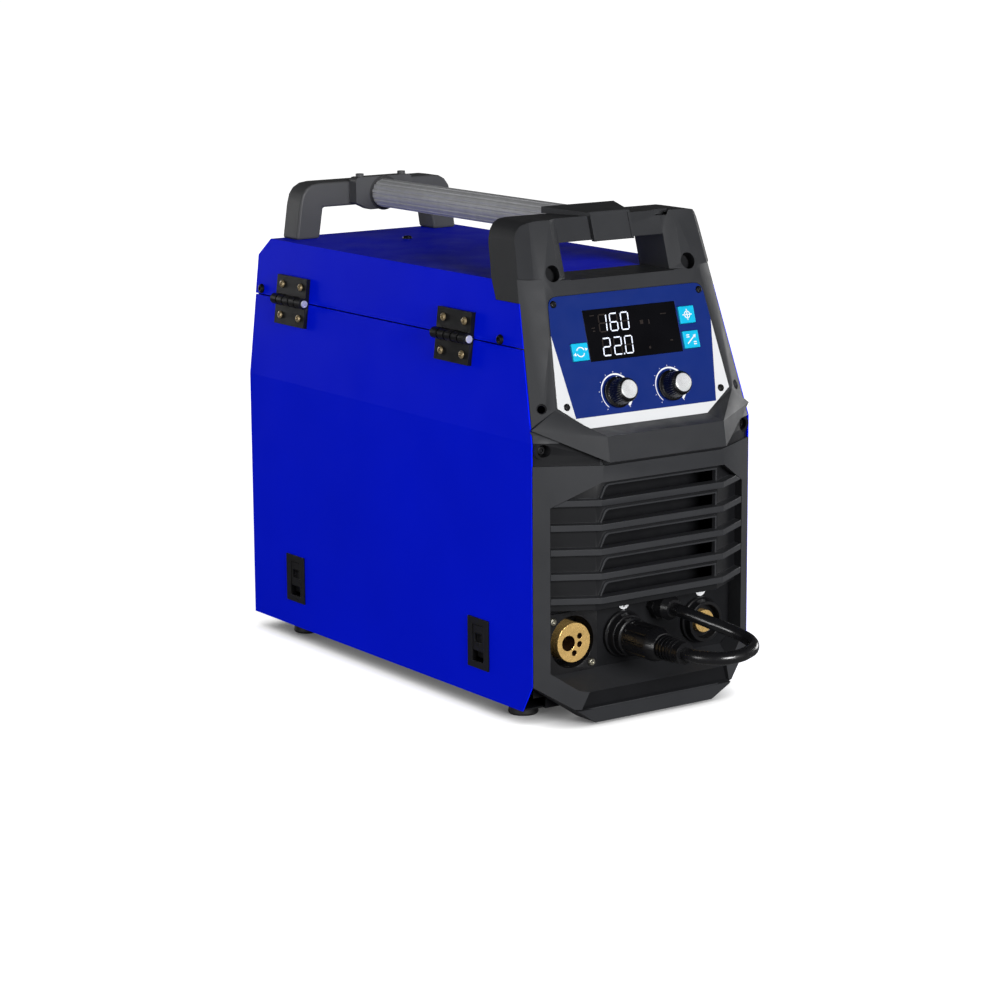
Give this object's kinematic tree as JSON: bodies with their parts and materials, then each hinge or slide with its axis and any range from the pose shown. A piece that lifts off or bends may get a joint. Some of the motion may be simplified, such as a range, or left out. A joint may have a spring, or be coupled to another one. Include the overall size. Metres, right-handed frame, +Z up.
{
  "type": "mig welding machine",
  "caption": "Portable MIG welding machine: steel case with a top-hinged wire door, moulded front with grille, controls and sockets, and a tube carrying handle.",
  "frame": {"origin": "middle of the footprint on the floor under the feet", "axes": "+Z up, the control face looks to -Y, the wire door is on the -X side, Y runs along the case"},
  "size_m": [0.2142, 0.545, 0.391],
  "materials": {
    "steel_black": "satin powder coat",
    "steel_light": "satin powder coat",
    "steel_blue": "semi-gloss powder coat",
    "rubber_black": "matt moulded",
    "bezel_grey": "fine textured moulding",
    "plastic_black": "fine textured moulding",
    "tube_alloy": "extruded and anodised",
    "zinc_screw": "black zinc",
    "brass": "turned",
    "panel_blue": "printed overlay",
    "glass_dark": "tinted",
    "board_green": "solder mask",
    "knob_black": "moulded, turned cap",
    "button_cyan": "moulded",
    "cable_black": "smooth jacket",
    "wire_copper": "coppered",
    "steel_machined": "machined",
    "rocker_red": "moulded"
  },
  "bodies": {
    "case": {"base_pan": "steel_black", "feet": "rubber_black", "centre_wall": "steel_light", "front_panel": "steel_black", "rear_panel": "steel_black", "cover": "steel_blue", "cover_screws": "zinc_screw", "front_bezel": "bezel_grey", "grille": "bezel_grey", "front_screws": "zinc_screw", "tube_cap": "bezel_grey", "handle_tube": "tube_alloy", "rear_handle": "plastic_black", "handle_clamp": "plastic_black", "hinge_upper_leaves": "plastic_black", "hinge_pins": "zinc_screw", "hinge_screws_upper": "brass", "control_plate": "panel_blue", "control_board": "board_green", "display_window": "glass_dark", "control_screws": "zinc_screw", "torch_housing": "plastic_black", "torch_body": "brass", "socket_collars": "plastic_black", "socket_inserts": "brass", "jumper_gland": "plastic_black", "jumper_cable": "cable_black", "jumper_plug": "plastic_black", "spool_spindle": "plastic_black", "welding_wire": "wire_copper", "inlet_guide": "brass", "feed_plate": "steel_machined", "feed_motor": "plastic_black", "fan_frame": "plastic_black", "power_switch": "plastic_black", "gas_inlet": "brass", "mains_gland": "plastic_black", "heatsink": "tube_alloy", "power_board": "board_green"},
    "door": {"door": "steel_blue", "hinge_lower_leaves": "plastic_black", "hinge_screws_lower": "brass", "latch_housings": "plastic_black"},
    "latch_front": {"latch_slider_front": "plastic_black"},
    "latch_rear": {"latch_slider_rear": "plastic_black"},
    "knob_left": {"knob_left": "knob_black"},
    "knob_right": {"knob_right": "knob_black"},
    "button_left": {"button_left": "button_cyan"},
    "button_upper": {"button_upper": "button_cyan"},
    "button_lower": {"button_lower": "button_cyan"},
    "rocker": {"power_rocker": "rocker_red"},
    "fan": {"fan_rotor": "plastic_black"},
    "spool": {"wire_spool": "plastic_black", "wire_core": "wire_copper", "wire_winding": "wire_copper"},
    "drive_roll": {"drive_roll": "steel_machined"},
    "pressure_arm": {"pressure_arm": "steel_machined"},
    "pressure_roll": {"pressure_roll": "steel_machined"},
    "tension_lever": {"tension_lever": "steel_machined"},
    "tension_knob": {"tension_knob": "plastic_black"}
  },
  "joints": [
    {"name": "door_hinge", "type": "hinge", "parent": "case", "child": "door", "pos_m": [-0.10235, 0.029, 0.29056], "axis": [0, 1, 0], "range_deg": [0, 110]},
    {"name": "latch_front_slide", "type": "slide", "parent": "door", "child": "latch_front", "axis": [0, 0, -1], "range_m": [0, 0.008]},
    {"name": "latch_rear_slide", "type": "slide", "parent": "door", "child": "latch_rear", "axis": [0, 0, -1], "range_m": [0, 0.008]},
    {"name": "knob_left_turn", "type": "hinge", "parent": "case", "child": "knob_left", "pos_m": [-0.026, -0.21102, 0.25539], "axis": [0, -0.9551, 0.2964], "range_deg": [-150, 150]},
    {"name": "knob_right_turn", "type": "hinge", "parent": "case", "child": "knob_right", "pos_m": [0.026, -0.21102, 0.25539], "axis": [0, -0.9551, 0.2964], "range_deg": [-150, 150]},
    {"name": "button_left_press", "type": "slide", "parent": "case", "child": "button_left", "axis": [0, 0.9551, -0.2964], "range_m": [0, 0.001], "stiffness_N_per_m": 400},
    {"name": "button_upper_press", "type": "slide", "parent": "case", "child": "button_upper", "axis": [0, 0.9551, -0.2964], "range_m": [0, 0.001], "stiffness_N_per_m": 400},
    {"name": "button_lower_press", "type": "slide", "parent": "case", "child": "button_lower", "axis": [0, 0.9551, -0.2964], "range_m": [0, 0.001], "stiffness_N_per_m": 400},
    {"name": "rocker_tilt", "type": "hinge", "parent": "case", "child": "rocker", "pos_m": [-0.066, 0.207, 0.262], "axis": [1, 0, 0], "range_deg": [0, 20]},
    {"name": "fan_spin", "type": "hinge", "parent": "case", "child": "fan", "pos_m": [0.0352, 0.193, 0.186], "axis": [0, 1, 0], "continuous": true},
    {"name": "spool_spin", "type": "hinge", "parent": "case", "child": "spool", "pos_m": [-0.064, 0.084, 0.132], "axis": [1, 0, 0], "continuous": true},
    {"name": "drive_roll_spin", "type": "hinge", "parent": "case", "child": "drive_roll", "pos_m": [-0.068, -0.107, 0.0462], "axis": [1, 0, 0], "continuous": true},
    {"name": "tension_lever_swing", "type": "hinge", "parent": "case", "child": "tension_lever", "pos_m": [-0.058, -0.141, 0.056], "axis": [1, 0, 0], "range_deg": [0, 32]},
    {"name": "pressure_arm_lift", "type": "hinge", "parent": "case", "child": "pressure_arm", "pos_m": [-0.056, -0.073, 0.0818], "axis": [-1, 0, 0], "range_deg": [0, 6.4]},
    {"name": "pressure_roll_spin", "type": "hinge", "parent": "pressure_arm", "child": "pressure_roll", "pos_m": [-0.068, -0.107, 0.0778], "axis": [1, 0, 0], "continuous": true},
    {"name": "tension_knob_turn", "type": "hinge", "parent": "tension_lever", "child": "tension_knob", "pos_m": [-0.058, -0.141, 0.1], "axis": [0, 0, 1], "range_deg": [-180, 180]}
  ],
  "couplings": [
    {"joint": "pressure_arm_lift", "follows": "tension_lever_swing", "ratio": 0.2},
    {"joint": "pressure_roll_spin", "follows": "drive_roll_spin", "ratio": -1}
  ]
}
